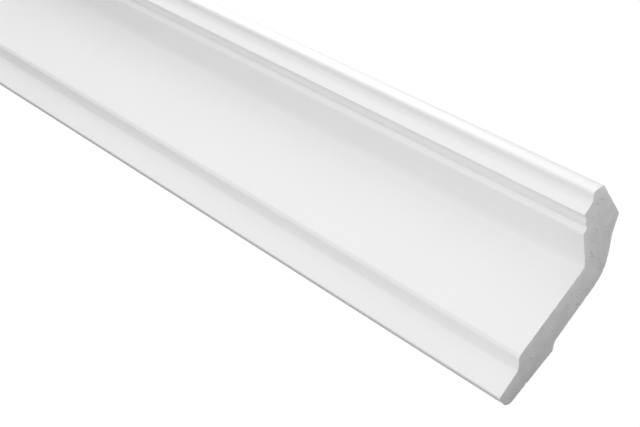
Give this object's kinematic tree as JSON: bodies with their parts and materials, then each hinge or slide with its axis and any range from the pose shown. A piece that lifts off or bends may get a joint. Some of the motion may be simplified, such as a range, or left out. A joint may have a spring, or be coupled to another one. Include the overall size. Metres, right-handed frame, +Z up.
{
  "type": "crown moulding length",
  "caption": "Straight length of foam crown moulding with a nosing, soffit fillets, a plain cove and a frieze band, solid in section, cut square at both ends.",
  "frame": {"origin": "middle of the flat pad at the back that bears on the wall, at mid-length", "axes": "+X along the length, +Y out of the back into the wall, +Z up to the ceiling; the moulded face looks to -Y and down"},
  "size_m": [0.6, 0.0575, 0.11],
  "materials": {
    "foam": "smooth satin white foam skin, fine open cells where it is cut"
  },
  "bodies": {
    "root": {"moulding": "foam"}
  },
  "joints": []
}
